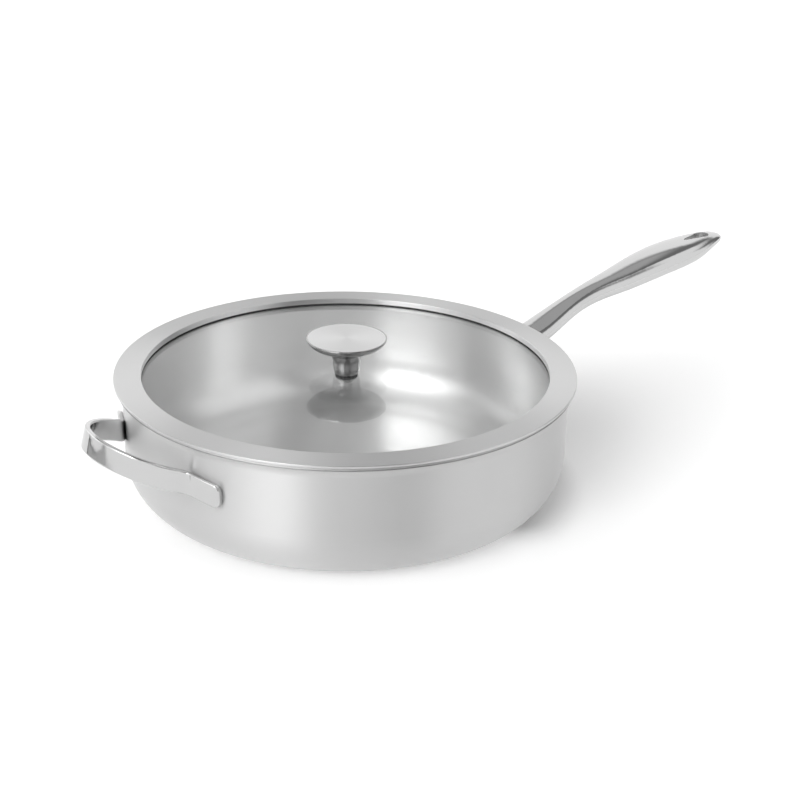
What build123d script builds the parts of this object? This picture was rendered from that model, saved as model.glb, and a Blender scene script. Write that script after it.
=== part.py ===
from build123d import *
from math import acos, asin, atan2, cos, pi, radians, sin
import os

# Saute pan with a flat glass lid. Millimetres, +Z up, origin at the centre of the base,
# on the worktop. The long handle points along +X and the helper handle along -X.

# Driving dimensions: the clad pan
pan_inner_radius = 140.0
outer_layer = 0.5
core_layer = 1.5
inner_layer = 0.5
base_corner_radius = 31.5
lip_bend_radius = 7.0
lip_bend_angle = 64.0
rim_height = 81.0
clad = outer_layer + core_layer + inner_layer
wall_radius = pan_inner_radius + clad

# Driving dimensions: the lid
lid_overhang = 5.0
lid_play = 1.5
band_thickness = 1.3
band_crown = 0.4
band_edge_round = 0.45
sheet = 0.9
glass_thickness = 3.5
glass_chamfer = 0.4
glass_sink = 4.3
seal_wall = 1.6
seal_top = 0.7
seal_floor = 0.4
seal_recess = 0.5
glass_lap = 5.7
channel_grip = 5.2
stud_hole_radius = 4.5

# Driving dimensions: the knob and its fixing
knob_radius = 25.8
knob_height = 23.5
knob_foot_radius = 7.8
knob_edge = 0.9
knob_wall = 1.2
cap_thickness = 1.2
cap_inset = 0.9
bush_radius = 5.0
bush_height = 17.2
screw_radius = 2.5
screw_reach = 17.0
screw_head_radius = 4.8
screw_head_height = 2.8
screw_head_round = 0.9
socket_radius = 1.5
socket_depth = 1.6
knob_ring_radius = 7.6
knob_ring_height = 0.5
spigot_clearance = 0.1
washer_radius = 7.2
soft_washer_height = 1.0
steel_washer_height = 0.8

# Driving dimensions: the long handle
handle_root_drop = 9.0
handle_root_gap = 6.0
handle_reach = 180.5
handle_rise = 43.6
grip_width = 36.2
grip_thickness = 15.7
handle_shell = 1.2
hang_hole_length = 22.5
hang_hole_width = 10.0
hang_hole_point_radius = 1.5
hang_hole_setback = 11.5
eyelet_wall = 0.8
foot_thickness = 3.0
foot_width = 40.0
foot_height = 30.0
foot_corner = 11.0
foot_drop = 12.0
tongue_length = 14.0
tongue_thickness = 4.0
tongue_gap = 0.4

# Driving dimensions: the helper handle
strap_thickness = 3.6
strap_height = 13.6
strap_edge_cut = 0.7
helper_bow_radius = 43.0
helper_reach = 36.5
helper_bend_radius = 7.0
helper_pad_span = 66.0
helper_pad_round = 4.4
helper_pad_drop = 32.8
helper_root_drop = 24.6
helper_bow_drop = 7.8
helper_lean_share = 0.28
weld_gap = 0.02

overrun = 5.0

# Radii of the lid, from the pan it fits: its channel hangs inside the rim with some play
lid_radius = wall_radius + lid_overhang
channel_outer = pan_inner_radius - lid_play
channel_inner = channel_outer - sheet
glass_radius = channel_inner - seal_wall
band_opening_radius = glass_radius - glass_lap

# Levels of the lid, which rests with its band on the rim of the pan
band_top = rim_height + band_thickness
glass_top = band_top + band_crown - glass_sink
glass_bottom = glass_top - glass_thickness
knob_base = glass_top + knob_ring_height
knob_top = knob_base + knob_height


def pan_path(depth):
    """Corner points of the pan's meridian, at a depth in from its outer surface."""
    wall = wall_radius - depth
    bend = lip_bend_radius + depth
    lip_start = rim_height - (lip_bend_radius + clad) * sin(radians(lip_bend_angle))
    centre_x = wall_radius + lip_bend_radius
    half = radians(lip_bend_angle) / 2
    corner = base_corner_radius - depth
    corner_x = wall_radius - base_corner_radius
    return {
        "axis": (0, depth),
        "floor": (corner_x, depth),
        "corner": (corner_x + corner * sin(pi / 4), base_corner_radius - corner * cos(pi / 4)),
        "wall": (wall, base_corner_radius),
        "bend": (wall, lip_start),
        "mid": (centre_x - bend * cos(half), lip_start + bend * sin(half)),
        "lip": (centre_x - bend * cos(2 * half), lip_start + bend * sin(2 * half)),
    }


def clad_layer(inside, outside):
    """Half section of one layer of the clad sheet between two depths."""
    near = pan_path(outside)
    far = pan_path(inside)
    with BuildLine() as section:
        Polyline(near["axis"], near["floor"])
        ThreePointArc(near["floor"], near["corner"], near["wall"])
        Line(near["wall"], near["bend"])
        ThreePointArc(near["bend"], near["mid"], near["lip"])
        Line(near["lip"], far["lip"])
        ThreePointArc(far["lip"], far["mid"], far["bend"])
        Line(far["bend"], far["wall"])
        ThreePointArc(far["wall"], far["corner"], far["floor"])
        Polyline(far["floor"], far["axis"], near["axis"])
    return section.line


def grind_rim():
    """Cut the half section of a layer flat at the height of the rim."""
    with Locations((0, rim_height)):
        Rectangle(2 * lid_radius, lip_bend_radius, align=(Align.CENTER, Align.MIN), mode=Mode.SUBTRACT)


# The pan: a stainless outer skin, an aluminium core and a stainless inner skin, rolled
# as one sheet and pressed to shape, with the rim ground flat under the lid
with BuildPart() as pan_outer_skin:
    with BuildSketch(Plane.XZ):
        add(clad_layer(outer_layer, 0))
        make_face()
        grind_rim()
    revolve(axis=Axis.Z)

with BuildPart() as pan_core:
    with BuildSketch(Plane.XZ):
        add(clad_layer(outer_layer + core_layer, outer_layer))
        make_face()
        grind_rim()
    revolve(axis=Axis.Z)

with BuildPart() as pan_inner_skin:
    with BuildSketch(Plane.XZ):
        add(clad_layer(clad, outer_layer + core_layer))
        make_face()
        grind_rim()
    revolve(axis=Axis.Z)


# The lid's rim: one steel ring, a flat band outside, rolled down over the glass inside,
# with a channel below that clamps the seal and centres the lid in the pan
channel_floor = glass_bottom - seal_floor
channel_bottom = channel_floor - sheet
roll_bottom = glass_top + seal_top
roll_outer = band_opening_radius + sheet
with BuildPart() as lid_rim:
    with BuildSketch(Plane.XZ) as rim_section:
        with BuildLine():
            Polyline(
                (lid_radius, rim_height),
                (lid_radius, band_top),
                (band_opening_radius, band_top + band_crown),
                (band_opening_radius, roll_bottom),
                (roll_outer, roll_bottom),
                (roll_outer, rim_height),
                (channel_inner, rim_height),
                (channel_inner, channel_floor),
                (glass_radius - channel_grip, channel_floor),
                (glass_radius - channel_grip, channel_bottom),
                (channel_outer, channel_bottom),
                (channel_outer, rim_height),
                close=True,
            )
        make_face()
        fillet(
            rim_section.vertices().group_by(Axis.Y)[-1]
            + rim_section.vertices().group_by(Axis.X)[-1].sort_by(Axis.Y)[-1:],
            radius=band_edge_round,
        )
    revolve(axis=Axis.Z)

# The silicone seal: wraps the edge of the glass and shows as a thin dark line inside
with BuildPart() as lid_seal:
    with BuildSketch(Plane.XZ):
        with BuildLine():
            Polyline(
                (band_opening_radius + seal_recess, glass_top),
                (glass_radius, glass_top),
                (glass_radius, glass_bottom),
                (glass_radius - channel_grip, glass_bottom),
                (glass_radius - channel_grip, channel_floor),
                (channel_inner, channel_floor),
                (channel_inner, rim_height),
                (roll_outer, rim_height),
                (roll_outer, roll_bottom),
                (band_opening_radius + seal_recess, roll_bottom),
                close=True,
            )
        make_face()
    revolve(axis=Axis.Z)

with BuildPart() as lid_glass:
    with BuildSketch(Plane.XY.offset(glass_bottom)):
        Circle(glass_radius)
        Circle(stud_hole_radius, mode=Mode.SUBTRACT)
    extrude(amount=glass_thickness)
    rounds = lid_glass.edges().filter_by(GeomType.CIRCLE)
    chamfer(rounds.group_by(SortBy.RADIUS)[0], length=glass_chamfer)


# The knob: a spun trumpet with a satin cap on top and a threaded bush inside
def knob_flare(inset):
    """Points down the knob's side as shares of its radius and height, moved in by an inset."""
    flare_shares = [
        (1.0, 1.0),
        (0.93, 0.885),
        (0.735, 0.755),
        (0.5, 0.65),
        (0.39, 0.52),
        (0.34, 0.28),
    ]
    body_height = knob_height - knob_edge
    points = [(knob_radius * across, body_height * up) for across, up in flare_shares]
    points.append((knob_foot_radius, 0))
    return [(x - inset, knob_base + y) for x, y in points]


cap_bottom = knob_top - cap_thickness
cap_radius = knob_radius - cap_inset
hollow_neck_share = 0.42
hollow_waist_shares = (0.5, 0.74)
with BuildPart() as knob_body:
    with BuildSketch(Plane.XZ):
        with BuildLine():
            rim_point = knob_flare(0)[0]
            Line((0, knob_base), (knob_foot_radius, knob_base))
            Spline(knob_flare(0)[::-1])
            Line(rim_point, (knob_radius, knob_top))
            Line((knob_radius, knob_top), (0, knob_top))
            Line((0, knob_top), (0, knob_base))
        make_face()
    revolve(axis=Axis.Z)
    with BuildSketch(Plane.XZ):
        with BuildLine():
            hollow_radius = cap_radius - knob_wall
            hollow_waist = (
                hollow_radius * hollow_waist_shares[0],
                knob_base + knob_height * hollow_waist_shares[1],
            )
            Polyline(
                (0, knob_base + knob_wall),
                (bush_radius, knob_base + knob_wall),
                (bush_radius, knob_base + knob_height * hollow_neck_share),
                hollow_waist,
                (hollow_radius, cap_bottom),
                (cap_radius, cap_bottom),
                (cap_radius, knob_top),
                (0, knob_top),
                close=True,
            )
        make_face()
    revolve(axis=Axis.Z, mode=Mode.SUBTRACT)
    with BuildSketch(Plane.XY.offset(knob_base)):
        Circle(screw_radius + spigot_clearance)
    extrude(amount=knob_wall, mode=Mode.SUBTRACT)

with BuildPart() as knob_cap:
    with BuildSketch(Plane.XY.offset(cap_bottom)):
        Circle(cap_radius)
    extrude(amount=cap_thickness)

with BuildPart() as knob_bush:
    with BuildSketch(Plane.XY.offset(knob_base + knob_wall)):
        Circle(bush_radius)
        Circle(screw_radius, mode=Mode.SUBTRACT)
    extrude(amount=bush_height)

with BuildPart() as knob_ring:
    with BuildSketch(Plane.XY.offset(glass_top)):
        Circle(knob_ring_radius)
        Circle(screw_radius + spigot_clearance, mode=Mode.SUBTRACT)
    extrude(amount=knob_ring_height)
    with BuildSketch(Plane.XY.offset(glass_bottom)):
        Circle(stud_hole_radius - spigot_clearance)
        Circle(screw_radius + spigot_clearance, mode=Mode.SUBTRACT)
    extrude(amount=glass_thickness)

soft_washer_bottom = glass_bottom - soft_washer_height
steel_washer_bottom = soft_washer_bottom - steel_washer_height
with BuildPart() as soft_washer:
    with BuildSketch(Plane.XY.offset(soft_washer_bottom)):
        Circle(washer_radius)
        Circle(screw_radius + spigot_clearance, mode=Mode.SUBTRACT)
    extrude(amount=soft_washer_height)

with BuildPart() as steel_washer:
    with BuildSketch(Plane.XY.offset(steel_washer_bottom)):
        Circle(washer_radius - spigot_clearance)
        Circle(screw_radius + spigot_clearance, mode=Mode.SUBTRACT)
    extrude(amount=steel_washer_height)

with BuildPart() as knob_screw:
    with BuildSketch(Plane.XY.offset(steel_washer_bottom - screw_head_height)):
        Circle(screw_head_radius)
    extrude(amount=screw_head_height)
    fillet(knob_screw.edges().group_by(Axis.Z)[0], radius=screw_head_round)
    with BuildSketch(Plane.XY.offset(steel_washer_bottom)):
        Circle(screw_radius)
    extrude(amount=screw_reach)
    with BuildSketch(Plane.XY.offset(steel_washer_bottom - screw_head_height)):
        RegularPolygon(socket_radius, 6)
    extrude(amount=socket_depth, mode=Mode.SUBTRACT)


# The long handle: two polished pressings welded along the middle, on a cast foot.
# Stations from root to tip, as shares of its reach, rise, grip width and grip thickness
handle_shares = [
    (0.0, 0.0, 0.735, 0.815),
    (0.064, 0.104, 0.715, 0.767),
    (0.147, 0.262, 0.632, 0.718),
    (0.241, 0.425, 0.564, 0.708),
    (0.34, 0.54, 0.622, 0.777),
    (0.451, 0.632, 0.777, 0.887),
    (0.561, 0.735, 0.922, 0.963),
    (0.661, 0.82, 1.0, 1.0),
    (0.755, 0.882, 0.998, 0.998),
    (0.838, 0.935, 0.878, 0.897),
    (0.899, 0.983, 0.7, 0.75),
    (0.949, 1.014, 0.52, 0.61),
    (0.982, 1.022, 0.37, 0.47),
    (1.0, 1.02, 0.24, 0.32),
]
handle_root = wall_radius + handle_root_gap
handle_root_height = rim_height - handle_root_drop
squareness = 2.3
section_points = 20


def spine_point(station):
    """Middle of the handle at a station."""
    along, rise = station[:2]
    return Vector(handle_root + handle_reach * along, 0, handle_root_height + handle_rise * rise)


def station_plane(index):
    """Plane square to the handle's middle line, with its local X across the handle."""
    before = spine_point(handle_shares[max(index - 1, 0)])
    after = spine_point(handle_shares[min(index + 1, len(handle_shares) - 1)])
    here = spine_point(handle_shares[index])
    return Plane(origin=here, x_dir=(0, 1, 0), z_dir=after - before)


def squared_oval(width, thickness):
    """Closed rounded section, between an ellipse and a rectangle."""
    turns = [2 * pi * step / section_points - pi / 2 for step in range(section_points)]
    points = []
    for turn in turns:
        across = abs(cos(turn)) ** (2 / squareness) * (1 if cos(turn) > 0 else -1)
        up = abs(sin(turn)) ** (2 / squareness) * (1 if sin(turn) > 0 else -1)
        points.append((width / 2 * across, thickness / 2 * up))
    with BuildLine() as outline:
        Spline(points, periodic=True)
    return outline.line


def handle_solid(inset, last):
    """Loft through the handle's stations, moved in by an inset, up to the last one."""
    with BuildPart() as body:
        for index, (_, _, wide, thick) in enumerate(handle_shares[:last]):
            with BuildSketch(station_plane(index)):
                add(squared_oval(grip_width * wide - 2 * inset, grip_thickness * thick - 2 * inset))
                make_face()
        loft()
    return body.part


handle_form = handle_solid(0, len(handle_shares))
handle_hollow = handle_solid(handle_shell, len(handle_shares) - 2)
handle_depth = handle_root_height + handle_rise + grip_thickness
with BuildPart() as below_middle:
    with BuildSketch(Plane.XZ):
        with BuildLine():
            middle = [spine_point(station) for station in handle_shares]
            middle_points = [(point.X, point.Z) for point in middle]
            start_slope = (middle[1] - middle[0]).normalized()
            start = middle[0] - start_slope * overrun
            finish = middle[-1] + Vector(overrun, 0, 0)
            Polyline(
                (start.X, start.Z),
                *middle_points,
                (finish.X, finish.Z),
                (finish.X, 0),
                (start.X, 0),
                close=True,
            )
        make_face()
    extrude(amount=grip_width, both=True)

# The hang hole: a teardrop, round at the tip end and drawn out towards the pan
hole_far = handle_root + handle_reach - hang_hole_setback
hole_round = hang_hole_width / 2


def teardrop(grow):
    """Outline of the hang hole, grown all round."""
    with BuildSketch() as outline:
        with Locations((hole_far - hole_round, 0)):
            Circle(hole_round + grow)
        with Locations((hole_far - hang_hole_length + hang_hole_point_radius, 0)):
            Circle(hang_hole_point_radius + grow)
        make_hull()
    return outline.sketch


with BuildPart() as hang_eyelet:
    add(extrude(teardrop(eyelet_wall), amount=handle_depth))
    add(extrude(teardrop(0), amount=handle_depth), mode=Mode.SUBTRACT)
    add(handle_form, mode=Mode.INTERSECT)

with BuildPart() as handle_upper_shell:
    add(handle_form)
    add(handle_hollow, mode=Mode.SUBTRACT)
    add(below_middle.part, mode=Mode.SUBTRACT)
    add(extrude(teardrop(eyelet_wall), amount=handle_depth), mode=Mode.SUBTRACT)

with BuildPart() as handle_lower_shell:
    add(handle_form)
    add(handle_hollow, mode=Mode.SUBTRACT)
    add(below_middle.part, mode=Mode.INTERSECT)
    add(extrude(teardrop(eyelet_wall), amount=handle_depth), mode=Mode.SUBTRACT)

# The handle's foot: a curved pad welded to the wall, a neck that meets the shells and a
# tongue that reaches into them
with BuildPart() as pan_envelope:
    with BuildSketch(Plane.XZ):
        with BuildLine():
            skin = pan_path(-weld_gap)
            Polyline(skin["lip"], (0, skin["lip"][1]), skin["axis"], skin["floor"])
            ThreePointArc(skin["floor"], skin["corner"], skin["wall"])
            Line(skin["wall"], skin["bend"])
            ThreePointArc(skin["bend"], skin["mid"], skin["lip"])
        make_face()
    revolve(axis=Axis.Z)
root_plane = station_plane(0)
pad_centre = handle_root_height - foot_drop
with BuildPart() as handle_foot:
    with BuildSketch(Plane.YZ.offset(wall_radius - foot_width / 2)):
        with Locations((0, pad_centre)):
            RectangleRounded(foot_width, foot_height, foot_corner)
    extrude(amount=foot_width)
    with BuildSketch():
        Circle(wall_radius + foot_thickness)
    extrude(amount=rim_height, mode=Mode.INTERSECT)
    with BuildSketch(Plane(origin=(wall_radius, 0, pad_centre), z_dir=(1, 0, 0))):
        add(squared_oval(foot_width - foot_corner, foot_height - foot_corner))
        make_face()
    with BuildSketch(root_plane):
        add(squared_oval(grip_width * handle_shares[0][2], grip_thickness * handle_shares[0][3]))
        make_face()
    loft()
    add(pan_envelope.part, mode=Mode.SUBTRACT)
    tongue_width = grip_width * handle_shares[2][2] - 2 * handle_shell - 2 * tongue_gap
    with BuildSketch(root_plane):
        add(squared_oval(tongue_width, tongue_thickness))
        make_face()
    extrude(amount=tongue_length)


# The helper handle: one flat steel strap bent into a loop, its ends turned out onto the
# wall as pads and welded there
pad_middle = wall_radius + weld_gap + strap_thickness / 2
helper_pad_height = rim_height - helper_pad_drop
helper_root_height = rim_height - helper_root_drop
helper_bow_height = rim_height - helper_bow_drop


def strap_outline(bow_distance):
    """Plan of the strap for a bow centred at a distance from the pan's axis."""
    to_bend = pad_middle + helper_bend_radius
    bow_to_bend = helper_bow_radius + helper_bend_radius
    turn = acos(
        (bow_distance**2 + to_bend**2 - bow_to_bend**2) / (2 * bow_distance * to_bend)
    )
    bend = Vector(-to_bend * cos(turn), to_bend * sin(turn))
    bow = Vector(-bow_distance, 0)
    from_bow = (bend - bow).normalized()
    from_axis = bend.normalized()
    middle_of_bend = (from_bow + from_axis).normalized()
    end = asin(helper_pad_span / pad_middle)
    end_way = Vector(-cos(end), sin(end))
    over = (end + turn) / 2
    over_way = Vector(-cos(over), sin(over))

    def side(offset):
        """Points of one face of the strap, from a pad's end to the top of the bow."""
        return [
            end_way * (pad_middle + offset),
            over_way * (pad_middle + offset),
            from_axis * (pad_middle + offset),
            bend - middle_of_bend * (helper_bend_radius - offset),
            bow + from_bow * (helper_bow_radius + offset),
            bow + Vector(-helper_bow_radius - offset, 0),
        ]

    def face_arcs(points):
        """Arcs of one face, over the whole strap."""
        flip = [Vector(point.X, -point.Y) for point in points]
        ThreePointArc(*points[0:3])
        ThreePointArc(*points[2:5])
        ThreePointArc(points[4], points[5], flip[4])
        ThreePointArc(*flip[4:1:-1])
        ThreePointArc(*flip[2::-1])
        return points[0], flip[0]

    with BuildLine() as outline:
        outer_ends = face_arcs(side(strap_thickness / 2))
        inner_ends = face_arcs(side(-strap_thickness / 2))
        Line(outer_ends[0], inner_ends[0])
        Line(outer_ends[1], inner_ends[1])
    return outline.line


def broad_face_edges(strap):
    """Edges all round the strap's two broad faces, without the seams within a face."""
    curved = strap.faces().filter_by(GeomType.PLANE, reverse=True)
    broad = curved.filter_by(lambda face: abs(face.normal_at(face.center()).Z) < upright_share)
    edges = [edge for face in broad for edge in face.edges()]
    return [edge for edge in edges if sum(edge.is_same(other) for other in edges) == 1]


upright_share = 0.5
bow_middle = wall_radius + helper_reach - helper_bow_radius
strap_low = helper_pad_height - strap_height
strap_high = helper_bow_height + strap_height
lean = helper_lean_share * (strap_high - strap_low) / 2
with BuildPart() as helper_handle:
    with BuildSketch(Plane.XY.offset(strap_low)):
        add(strap_outline(bow_middle + lean))
        make_face()
    with BuildSketch(Plane.XY.offset(strap_high)):
        add(strap_outline(bow_middle - lean))
        make_face()
    loft(ruled=True)
    pad_x = -pad_middle * cos(asin(helper_pad_span / pad_middle))
    root_x = -wall_radius
    bow_x = -wall_radius - helper_reach - strap_thickness
    slope = atan2(helper_bow_height - helper_root_height, root_x - bow_x)
    half_band = strap_height / 2 / cos(slope)
    with BuildSketch(Plane.XZ):
        with BuildLine():
            top_line = Spline(
                (pad_x + 2 * strap_thickness, helper_pad_height + half_band),
                (root_x, helper_root_height + half_band),
                (bow_x, helper_bow_height + half_band),
            )
            base_line = Spline(
                (pad_x + 2 * strap_thickness, helper_pad_height - half_band),
                (root_x, helper_root_height - half_band),
                (bow_x, helper_bow_height - half_band),
            )
            Line(top_line @ 0, base_line @ 0)
            Line(top_line @ 1, base_line @ 1)
        make_face()
    extrude(amount=helper_pad_span + strap_thickness, both=True, mode=Mode.INTERSECT)
    with BuildSketch():
        Circle(wall_radius)
    extrude(amount=strap_high, mode=Mode.SUBTRACT)
    pad_ends = helper_handle.faces().filter_by(GeomType.PLANE)
    pad_corners = pad_ends.edges().filter_by(lambda edge: abs(edge.tangent_at(0).Z) < upright_share)
    fillet(pad_corners, radius=helper_pad_round)
    chamfer(broad_face_edges(helper_handle), length=strap_edge_cut)


pieces = {
    "pan_outer_skin": pan_outer_skin,
    "pan_core": pan_core,
    "pan_inner_skin": pan_inner_skin,
    "handle_foot": handle_foot,
    "handle_upper_shell": handle_upper_shell,
    "handle_lower_shell": handle_lower_shell,
    "hang_eyelet": hang_eyelet,
    "helper_handle": helper_handle,
    "lid_rim": lid_rim,
    "lid_seal": lid_seal,
    "lid_glass": lid_glass,
    "knob_body": knob_body,
    "knob_cap": knob_cap,
    "knob_bush": knob_bush,
    "knob_ring": knob_ring,
    "soft_washer": soft_washer,
    "steel_washer": steel_washer,
    "knob_screw": knob_screw,
}
os.makedirs("parts", exist_ok=True)
for name, piece in pieces.items():
    piece.part.label = name
    export_step(piece.part, f"parts/{name}.step")
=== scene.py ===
import math

import bmesh
import bpy
from mathutils import Matrix, Vector

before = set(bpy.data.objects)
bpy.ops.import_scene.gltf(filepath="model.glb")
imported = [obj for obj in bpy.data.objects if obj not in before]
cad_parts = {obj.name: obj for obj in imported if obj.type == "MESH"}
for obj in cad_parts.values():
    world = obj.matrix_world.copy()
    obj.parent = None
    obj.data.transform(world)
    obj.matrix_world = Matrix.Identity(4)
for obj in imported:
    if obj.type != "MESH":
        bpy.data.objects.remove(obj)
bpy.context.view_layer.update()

# The camera stands in front of the pan and to the left of its handle, at the height of a
# person by the hob, and looks down on the lid.
camera_place = Vector((-0.4966, -0.7647, 0.4507))
view_right = Vector((0.8215, -0.5700, 0.0176)).normalized()
view_forward = Vector((0.5296, 0.7512, -0.3942)).normalized()
view_up = view_right.cross(view_forward).normalized()
view_right = view_forward.cross(view_up)
camera = bpy.data.objects.new("camera", bpy.data.cameras.new("camera"))
camera.data.lens = 68.9
camera.data.sensor_width = 36
camera.data.clip_start = 0.05
turn = Matrix((view_right, view_up, -view_forward)).transposed()
camera.matrix_world = Matrix.Translation(camera_place) @ turn.to_4x4()
bpy.context.scene.collection.objects.link(camera)
bpy.context.scene.camera = camera
bpy.context.scene.view_settings.view_transform = "Standard"


def place(tree, kind, inputs=None, **settings):
    """Puts one node in a tree; an input that is given a socket is joined to it."""
    node = tree.nodes.new("ShaderNode" + kind)
    for name, value in settings.items():
        setattr(node, name, value)
    for name, value in (inputs or {}).items():
        if isinstance(value, bpy.types.NodeSocket):
            tree.links.new(value, node.inputs[name])
        else:
            node.inputs[name].default_value = value
    return node


def maths(tree, operation, first, second=0.0, third=0.0):
    """One step of arithmetic between sockets or numbers."""
    return place(tree, "Math", {0: first, 1: second, 2: third}, operation=operation).outputs[0]


def blank_tree(owner):
    """Empties the node tree of a material or world and returns it."""
    owner.use_nodes = True
    owner.node_tree.nodes.clear()
    return owner.node_tree


# The studio: a white sweep behind and under the pan, a strong tall lamp on the left, a big
# softbox on the right and weaker fills, in a dim room. Metal shows it, so each is a soft patch.
lamp = bpy.data.node_groups.new("soft_lamp", "ShaderNodeTree")
lamp_sockets = (
    "Azimuth", "Height", "Start", "Full Start", "Full End", "End",
    "Low", "Full Low", "Full High", "High", "Brightness",
)
for name in lamp_sockets:
    lamp.interface.new_socket(name, in_out="INPUT", socket_type="NodeSocketFloat")
lamp.interface.new_socket("Light", in_out="OUTPUT", socket_type="NodeSocketFloat")
given = lamp.nodes.new("NodeGroupInput")


def soft_step(tree, value, start, end):
    """Rises smoothly from 0 to 1 between two values."""
    sockets = {"Value": value, "From Min": start, "From Max": end}
    return place(tree, "MapRange", sockets, interpolation_type="SMOOTHSTEP").outputs[0]


sides = [
    soft_step(lamp, given.outputs["Azimuth"], given.outputs["Start"], given.outputs["Full Start"]),
    soft_step(lamp, given.outputs["Azimuth"], given.outputs["End"], given.outputs["Full End"]),
    soft_step(lamp, given.outputs["Height"], given.outputs["Low"], given.outputs["Full Low"]),
    soft_step(lamp, given.outputs["Height"], given.outputs["High"], given.outputs["Full High"]),
]
lit = given.outputs["Brightness"]
for side in sides:
    lit = maths(lamp, "MULTIPLY", lit, side)
lamp.links.new(lit, lamp.nodes.new("NodeGroupOutput").inputs["Light"])

world = bpy.data.worlds.new("studio")
bpy.context.scene.world = world
room = blank_tree(world)
look = place(room, "TexCoord").outputs["Generated"]
look_parts = place(room, "SeparateXYZ", {0: look})
bearing = maths(room, "ARCTAN2", look_parts.outputs["Y"], look_parts.outputs["X"])
bearing = maths(room, "FLOORED_MODULO", maths(room, "ADD", maths(room, "DEGREES", bearing), 90.0), 360.0)
height = maths(room, "DEGREES", maths(room, "ARCSINE", look_parts.outputs["Z"]))
# Each lamp: bearings round the pan from its -Y side in degrees, then heights above the floor
# line, both as start of the soft edge, full light, end of full light, end of the soft edge;
# last its brightness.
lamps = {
    "key": (245, 290, 299, 310, 6, 28, 36, 58, 5.8),
    "left fill": (170, 220, 258, 276, -30, -10, 12, 45, 1.3),
    "far left": (200, 210, 225, 235, 0, 10, 25, 40, 0.6),
    "front": (290, 312, 335, 358, 8, 24, 38, 52, 1.1),
    "right": (6, 14, 66, 80, -30, -20, 62, 78, 0.8),
    "right high": (66, 80, 108, 118, 38, 50, 66, 78, 0.8),
    "sweep": (92, 106, 190, 212, -40, -30, 34, 41, 0.85),
    "upper left": (170, 200, 280, 300, 42, 54, 80, 95, 0.6),
    "upper back": (126, 142, 175, 190, 36, 44, 80, 90, 0.28),
}
dim_room = 0.2
room_light = maths(room, "ADD", 0.0, dim_room)
for name, shape in lamps.items():
    patch = room.nodes.new("ShaderNodeGroup")
    patch.node_tree = lamp
    patch.label = name
    for socket, value in zip(patch.inputs[2:], shape):
        socket.default_value = value
    room.links.new(bearing, patch.inputs["Azimuth"])
    room.links.new(height, patch.inputs["Height"])
    room_light = maths(room, "ADD", room_light, patch.outputs["Light"])
ray = place(room, "LightPath")
seen = maths(room, "MAXIMUM", ray.outputs["Is Camera Ray"], ray.outputs["Is Transmission Ray"])
strength = place(room, "Mix", {"Factor": seen, "A": room_light, "B": 1.0}).outputs["Result"]
backdrop = place(room, "Background", {"Color": (1, 1, 1, 1), "Strength": strength})
room.links.new(backdrop.outputs[0], place(room, "OutputWorld").inputs["Surface"])

# The floor of the sweep: matt white paper that is white to the eye and still takes the
# shadow of the pan. It glows less in a pool to the right of the pan, where the shadow of the
# key lamp falls, and close to the base there.
sweep_radius = 7.0
paper = bmesh.new()
bmesh.ops.create_circle(paper, cap_ends=True, segments=128, radius=sweep_radius)
floor_mesh = bpy.data.meshes.new("floor")
paper.to_mesh(floor_mesh)
paper.free()
floor = bpy.data.objects.new("floor", floor_mesh)
bpy.context.scene.collection.objects.link(floor)
paper_white = bpy.data.materials.new("white_paper")
tree = blank_tree(paper_white)
spot = place(tree, "TexCoord").outputs["Object"]
fibre = place(tree, "TexNoise", {"Vector": spot, "Scale": 900.0, "Detail": 3.0}).outputs["Fac"]
paper_bump = place(tree, "Bump", {"Height": fibre, "Strength": 0.05, "Distance": 0.0002})
matt = place(tree, "BsdfDiffuse", {"Color": (0.8, 0.8, 0.8, 1), "Normal": paper_bump.outputs[0]})
glow_in_steel = 0.27
glow_to_eye = 0.35
ray = place(tree, "LightPath")
seen = maths(tree, "MAXIMUM", ray.outputs["Is Camera Ray"], ray.outputs["Is Transmission Ray"])
lift = maths(tree, "MULTIPLY", seen, glow_to_eye)
lift = maths(tree, "MULTIPLY_ADD", ray.outputs["Is Glossy Ray"], glow_in_steel, lift)
shadow_way = (0.985, -0.174, 0)
side_start, side_end = 0.45, 0.68
contact_start, contact_end = 0.158, 0.128
deepest_shade = 0.88
far = place(tree, "VectorMath", {0: spot}, operation="LENGTH").outputs["Value"]
rightward = place(tree, "VectorMath", {0: spot, 1: shadow_way}, operation="DOT_PRODUCT")
rightward = maths(tree, "DIVIDE", rightward.outputs["Value"], far)
in_shadow = soft_step(tree, rightward, side_start, side_end)
contact = {"Value": far, "From Min": contact_start, "From Max": contact_end}
close = place(tree, "MapRange", contact).outputs[0]
pool_shape = {
    "Vector": spot,
    "Location": (0.115, 0, 0),
    "Rotation": (0, 0, 0.087),
    "Scale": (0.29, 0.135, 1),
}
pool = place(tree, "Mapping", pool_shape, vector_type="TEXTURE").outputs[0]
pool = place(tree, "VectorMath", {0: pool}, operation="LENGTH").outputs["Value"]
pool = place(tree, "MapRange", {"Value": pool, "To Min": 1.0, "To Max": 0.0}).outputs[0]
shade = maths(tree, "MINIMUM", maths(tree, "MULTIPLY_ADD", close, in_shadow, pool), 1.0)
glow_left = maths(tree, "MULTIPLY_ADD", shade, -deepest_shade, 1.0)
lift = maths(tree, "MULTIPLY", lift, glow_left)
glow = place(tree, "Emission", {"Color": (1, 1, 1, 1), "Strength": lift})
both = place(tree, "AddShader", {0: matt.outputs[0], 1: glow.outputs[0]})
tree.links.new(both.outputs[0], place(tree, "OutputMaterial").inputs["Surface"])
floor_mesh.materials.append(paper_white)


def remap(tree, value, low, high):
    """Turns a mask from 0 to 1 into a number between two values."""
    sockets = {"Value": value, "To Min": low, "To Max": high}
    return place(tree, "MapRange", sockets).outputs[0]


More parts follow.
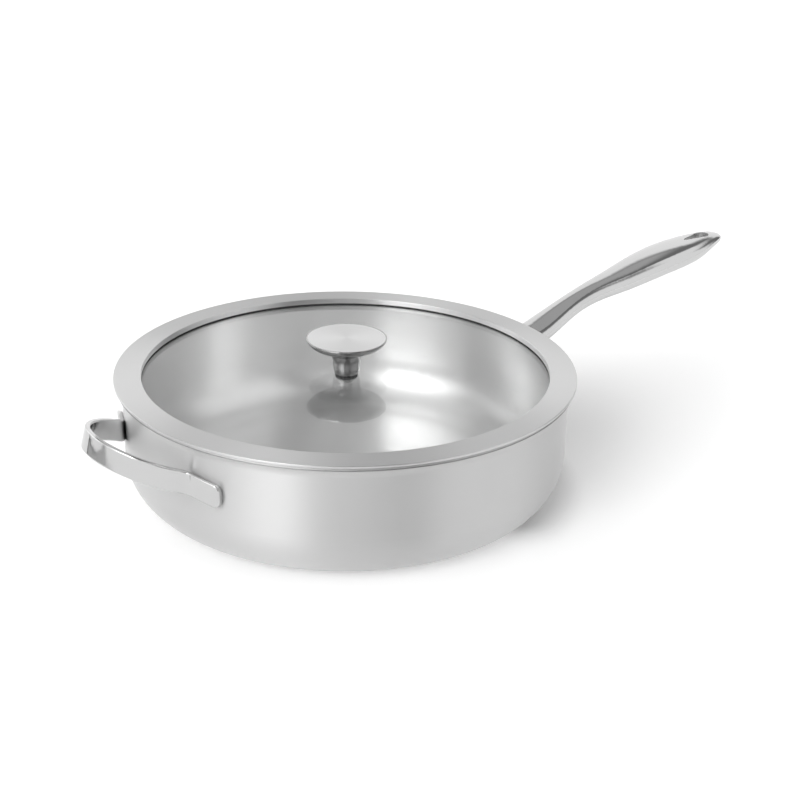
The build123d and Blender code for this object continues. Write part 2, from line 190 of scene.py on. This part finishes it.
# The grey card: a matt board laid on the floor behind the helper handle, out of the picture.
# Only the polished steel sees it, as the grey patch on the bow of the helper handle.
board = bmesh.new()
half_long, half_deep = 0.443, 0.225
corners = [
    (-half_long, -half_deep),
    (half_long, -half_deep),
    (half_long, half_deep),
    (-half_long, half_deep),
]
board.faces.new([board.verts.new((along, deep, 0)) for along, deep in corners])
board_mesh = bpy.data.meshes.new("grey_card")
board.to_mesh(board_mesh)
board.free()
grey_card = bpy.data.objects.new("grey_card", board_mesh)
card_place = Matrix.Translation((-0.787, 0.19, 0.002))
grey_card.matrix_world = card_place @ Matrix.Rotation(math.radians(-9.8), 4, "Z")
grey_card.visible_camera = False
grey_card.visible_diffuse = False
grey_card.visible_shadow = False
grey_card.visible_transmission = False
bpy.context.scene.collection.objects.link(grey_card)
card_grey = bpy.data.materials.new("grey_board")
tree = blank_tree(card_grey)
rim_long, rim_deep = 0.42, 0.213
board_light, rim_light = 0.52, 0.12
card_parts = place(tree, "SeparateXYZ", {0: place(tree, "TexCoord").outputs["Object"]})
to_end = maths(tree, "GREATER_THAN", maths(tree, "ABSOLUTE", card_parts.outputs["X"]), rim_long)
to_side = maths(tree, "GREATER_THAN", maths(tree, "ABSOLUTE", card_parts.outputs["Y"]), rim_deep)
dark_rim = maths(tree, "MAXIMUM", to_end, to_side)
card_light = remap(tree, dark_rim, board_light, rim_light)
even = place(tree, "Emission", {"Color": (1, 1, 1, 1), "Strength": card_light})
tree.links.new(even.outputs[0], place(tree, "OutputMaterial").inputs["Surface"])
board_mesh.materials.append(card_grey)

# The grain of brushed steel: fine scratches that run round the pan's axis, laid by a belt
# while the pan turned. They spread a reflection across them and barely along them.
grain = bpy.data.node_groups.new("turned_grain", "ShaderNodeTree")
for name, value in (("Lines", 2600.0), ("Length", 9.0), ("Depth", 0.4)):
    socket = grain.interface.new_socket(name, in_out="INPUT", socket_type="NodeSocketFloat")
    socket.default_value = value
for name in ("Scratch", "Cloud"):
    grain.interface.new_socket(name, in_out="OUTPUT", socket_type="NodeSocketFloat")
grain.interface.new_socket("Normal", in_out="OUTPUT", socket_type="NodeSocketVector")
given = grain.nodes.new("NodeGroupInput")
spot = place(grain, "TexCoord").outputs["Object"]
spot_parts = place(grain, "SeparateXYZ", {0: spot})
flat_parts = {"X": spot_parts.outputs["X"], "Y": spot_parts.outputs["Y"]}
flat_spot = place(grain, "CombineXYZ", flat_parts).outputs[0]
radius = place(grain, "VectorMath", {0: flat_spot}, operation="LENGTH").outputs["Value"]
way = place(grain, "VectorMath", {0: flat_spot}, operation="NORMALIZE").outputs[0]
along = {0: way, "Scale": given.outputs["Length"]}
way = place(grain, "VectorMath", along, operation="SCALE").outputs[0]
across = maths(grain, "ADD", radius, spot_parts.outputs["Z"])
across = maths(grain, "MULTIPLY", across, given.outputs["Lines"])
lines_up = place(grain, "CombineXYZ", {"Z": across}).outputs[0]
scratch_spot = place(grain, "VectorMath", {0: way, 1: lines_up}, operation="ADD").outputs[0]
fine = {"Vector": scratch_spot, "Scale": 1.0, "Detail": 4.0, "Roughness": 0.65}
scratch = place(grain, "TexNoise", fine).outputs["Fac"]
cloud = place(grain, "TexNoise", {"Vector": spot, "Scale": 14.0, "Detail": 3.0}).outputs["Fac"]
scratch_height = {"Height": scratch, "Strength": given.outputs["Depth"], "Distance": 0.00003}
bump = place(grain, "Bump", scratch_height)
given_out = grain.nodes.new("NodeGroupOutput")
grain.links.new(scratch, given_out.inputs["Scratch"])
grain.links.new(cloud, given_out.inputs["Cloud"])
grain.links.new(bump.outputs[0], given_out.inputs["Normal"])


def brushed_steel(name, grey, rough, lines, length, depth, stretch, shaded_ground_from=1.0):
    """Makes steel with a turned grain, ground rougher and darkened with painted shade above a height;
    grey and rough are ranges.
    """
    metal = bpy.data.materials.new(name)
    tree = blank_tree(metal)
    marks = tree.nodes.new("ShaderNodeGroup")
    marks.node_tree = bpy.data.node_groups["turned_grain"]
    marks.inputs["Lines"].default_value = lines
    marks.inputs["Length"].default_value = length
    marks.inputs["Depth"].default_value = depth
    spot = place(tree, "TexCoord").outputs["Object"]
    level = place(tree, "SeparateXYZ", {0: spot}).outputs["Z"]
    painted_shade_depth, rougher = 0.4, 0.2
    # Above the height the steel is ground rougher, and its colour is darkened as painted shade.
    ground_and_shaded = soft_step(tree, level, shaded_ground_from, shaded_ground_from + 0.001)
    rim_painted_shade = maths(tree, "MULTIPLY_ADD", ground_and_shaded, -painted_shade_depth, 1.0)
    clouded = remap(tree, marks.outputs["Cloud"], *grey)
    scratched = remap(tree, marks.outputs["Scratch"], *rough)
    surface = place(tree, "BsdfPrincipled", {
        "Base Color": maths(tree, "MULTIPLY", clouded, rim_painted_shade),
        "Roughness": maths(tree, "MULTIPLY_ADD", ground_and_shaded, rougher, scratched),
        "Normal": marks.outputs["Normal"],
        "Metallic": 1.0,
        "Anisotropic": stretch,
        "Anisotropic Rotation": 0.25,
        "Tangent": place(tree, "Tangent", direction_type="RADIAL", axis="Z").outputs[0],
    })
    tree.links.new(surface.outputs[0], place(tree, "OutputMaterial").inputs["Surface"])
    return metal


def finish_of(node, material):
    """Gives a node of the model its material."""
    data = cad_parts[node].data
    data.materials.clear()
    data.materials.append(material)


# The pan: one sheet of steel, aluminium and steel, pressed to a flat-bottomed bowl with a
# flared lip. Both skins are brushed round; the core's soft edge shows at the ground rim. Above
# 77.5 mm the outer skin's lip is ground rougher and darkened with painted shade, which dims its
# reflection of the key lamp.
wall_steel = brushed_steel(
    "brushed_wall", grey=(0.62, 0.68), rough=(0.38, 0.48),
    lines=2600.0, length=9.0, depth=0.3, stretch=0.9, shaded_ground_from=0.0775,
)
# The inside is the same steel as the wall, made lighter: painted light for the inside under the glass.
lit_inside_steel = brushed_steel(
    "brushed_inside", grey=(0.78, 0.84), rough=(0.25, 0.33),
    lines=2200.0, length=7.0, depth=0.25, stretch=0.9,
)
soft_core = brushed_steel(
    "ground_aluminium", grey=(0.46, 0.52), rough=(0.45, 0.6),
    lines=3200.0, length=14.0, depth=0.5, stretch=0.4,
)
finish_of("pan_outer_skin", wall_steel)
finish_of("pan_inner_skin", lit_inside_steel)
finish_of("pan_core", soft_core)

# The polished steel of both handles and the knob: a mirror with faint wipe marks and the
# odd hairline from the buffing wheel.
wiped = bpy.data.node_groups.new("wiped_polish", "ShaderNodeTree")
for name, value in (("Smear", 22.0), ("Hairlines", 240.0), ("Depth", 0.1), ("Edge Round", 0.0)):
    socket = wiped.interface.new_socket(name, in_out="INPUT", socket_type="NodeSocketFloat")
    socket.default_value = value
wiped.interface.new_socket("Marks", in_out="OUTPUT", socket_type="NodeSocketFloat")
wiped.interface.new_socket("Normal", in_out="OUTPUT", socket_type="NodeSocketVector")
given = wiped.nodes.new("NodeGroupInput")
spot = place(wiped, "TexCoord").outputs["Object"]
cloth = {"Vector": spot, "Scale": given.outputs["Smear"], "Detail": 4.0, "Distortion": 0.6}
smear = place(wiped, "TexNoise", cloth).outputs["Fac"]
long_spot = place(wiped, "Mapping", {"Vector": spot, "Scale": (0.15, 1.0, 1.0)}).outputs[0]
strands = {"Vector": long_spot, "Scale": given.outputs["Hairlines"], "Detail": 2.0}
hair = place(wiped, "TexNoise", strands).outputs["Fac"]
faint_hair = maths(wiped, "MULTIPLY", hair, 0.3)
marks = maths(wiped, "MULTIPLY_ADD", soft_step(wiped, smear, 0.45, 0.75), 0.7, faint_hair)
edge = place(wiped, "Bevel", {"Radius": given.outputs["Edge Round"]}, samples=8)
hair_height = {
    "Height": hair,
    "Strength": given.outputs["Depth"],
    "Distance": 0.00001,
    "Normal": edge.outputs[0],
}
bump = place(wiped, "Bump", hair_height)
given_out = wiped.nodes.new("NodeGroupOutput")
wiped.links.new(marks, given_out.inputs["Marks"])
wiped.links.new(bump.outputs[0], given_out.inputs["Normal"])


def polished_steel(name, grey, rough, depth, edge=0.0):
    """Makes mirror polished stainless steel with wipe marks and edges rounded by the wheel."""
    metal = bpy.data.materials.new(name)
    tree = blank_tree(metal)
    marks = tree.nodes.new("ShaderNodeGroup")
    marks.node_tree = bpy.data.node_groups["wiped_polish"]
    marks.inputs["Depth"].default_value = depth
    marks.inputs["Edge Round"].default_value = edge
    surface = place(tree, "BsdfPrincipled", {
        "Base Color": remap(tree, marks.outputs["Marks"], grey[1], grey[0]),
        "Roughness": remap(tree, marks.outputs["Marks"], *rough),
        "Normal": marks.outputs["Normal"],
        "Metallic": 1.0,
    })
    tree.links.new(surface.outputs[0], place(tree, "OutputMaterial").inputs["Surface"])
    return metal


# The long handle: a cast foot welded to the wall, and two pressings welded round its
# tongue and polished as one. A drawn liner edges the hang hole.
handle_polish = polished_steel("polished_handle", grey=(0.6, 0.64), rough=(0.05, 0.12), depth=0.08)
foot_polish = polished_steel("polished_casting", grey=(0.62, 0.7), rough=(0.14, 0.26), depth=0.4)
# The liner's steel is lighter than the handle's: painted light inside the hang hole.
lit_eyelet_polish = polished_steel("drawn_eyelet_painted_light", grey=(0.7, 0.78), rough=(0.3, 0.42), depth=0.3)
finish_of("handle_foot", foot_polish)
finish_of("handle_upper_shell", handle_polish)
finish_of("handle_lower_shell", handle_polish)
finish_of("hang_eyelet", lit_eyelet_polish)

# The helper handle: a thick flat strap, bent into a loop, polished all over until its long
# edges are round to the touch, and welded to the wall by two rounded pads.
strap_polish = polished_steel(
    "polished_strap", grey=(0.6, 0.64), rough=(0.05, 0.12), depth=0.08, edge=0.001,
)
finish_of("helper_handle", strap_polish)

# The lid's band: one ring of sheet, flat on top with a turned grain, rolled down inside
# over the glass and folded under to a channel.
band_steel = brushed_steel(
    "brushed_band", grey=(0.63, 0.69), rough=(0.36, 0.46),
    lines=3000.0, length=9.0, depth=0.3, stretch=0.85,
)
finish_of("lid_rim", band_steel)

# The seal: dark silicone that holds the edge of the glass, with the dull skin of moulding.
# The ring under the knob and the soft washer are of the same stuff.
silicone = bpy.data.materials.new("silicone")
tree = blank_tree(silicone)
spot = place(tree, "TexCoord").outputs["Object"]
skin = place(tree, "TexNoise", {"Vector": spot, "Scale": 1400.0, "Detail": 3.0}).outputs["Fac"]
skin_bump = place(tree, "Bump", {"Height": skin, "Strength": 0.3, "Distance": 0.00008})
surface = place(tree, "BsdfPrincipled", {
    "Base Color": remap(tree, skin, 0.05, 0.08),
    "Roughness": remap(tree, skin, 0.5, 0.68),
    "Normal": skin_bump.outputs[0],
    "Specular IOR Level": 0.4,
})
tree.links.new(surface.outputs[0], place(tree, "OutputMaterial").inputs["Surface"])
for node in ("lid_seal", "knob_ring", "soft_washer"):
    finish_of(node, silicone)

# The glass: a flat disc of clear tempered glass with ground edges and a few wipe marks. Rays
# that light the pan pass it as a thin pane, so the inside isn't left dark.
clear_glass = bpy.data.materials.new("clear_glass")
tree = blank_tree(clear_glass)
spot = place(tree, "TexCoord").outputs["Object"]
cloth = {"Vector": spot, "Scale": 9.0, "Detail": 5.0, "Distortion": 1.2}
wipes = place(tree, "TexNoise", cloth).outputs["Fac"]
surface = place(tree, "BsdfPrincipled", {
    "Base Color": (0.975, 0.979, 0.977, 1),
    "Roughness": remap(tree, soft_step(tree, wipes, 0.5, 0.8), 0.0, 0.02),
    "Transmission Weight": 1.0,
    "IOR": 1.5,
})
ray = place(tree, "LightPath")
bare = place(tree, "BsdfTransparent", {"Color": (0.955, 0.957, 0.956, 1)})
mirrored = place(tree, "BsdfGlossy", {"Color": (1, 1, 1, 1), "Roughness": 0.0})
back = maths(tree, "SUBTRACT", 1.0, place(tree, "NewGeometry").outputs["Backfacing"])
two_faces = 1.7
share = maths(tree, "MULTIPLY", place(tree, "Fresnel", {"IOR": 1.5}).outputs[0], back)
share = maths(tree, "MINIMUM", maths(tree, "MULTIPLY", share, two_faces), 1.0)
thin = place(tree, "MixShader", {0: share, 1: bare.outputs[0], 2: mirrored.outputs[0]})
straight = maths(tree, "MAXIMUM", ray.outputs["Is Camera Ray"], ray.outputs["Is Transmission Ray"])
both = place(tree, "MixShader", {0: straight, 1: thin.outputs[0], 2: surface.outputs[0]})
tree.links.new(both.outputs[0], place(tree, "OutputMaterial").inputs["Surface"])
finish_of("lid_glass", clear_glass)

# The knob: a hollow spun trumpet, polished, with a satin disc let into its top and a
# threaded bush inside. A screw and two washers hold it through the glass.
# The knob's polished steel is darker than the handles': painted shade for the dark glass and pan it
# mirrors.
shaded_knob_polish = polished_steel("polished_knob", grey=(0.38, 0.43), rough=(0.05, 0.12), depth=0.1)
cap_satin = brushed_steel(
    "satin_cap", grey=(0.66, 0.7), rough=(0.26, 0.34),
    lines=5200.0, length=5.0, depth=0.35, stretch=0.5,
)
plain_steel = brushed_steel(
    "plain_fixing_steel", grey=(0.5, 0.58), rough=(0.25, 0.4),
    lines=6000.0, length=4.0, depth=0.5, stretch=0.3,
)
finish_of("knob_body", shaded_knob_polish)
finish_of("knob_cap", cap_satin)
for node in ("knob_bush", "steel_washer", "knob_screw"):
    finish_of(node, plain_steel)
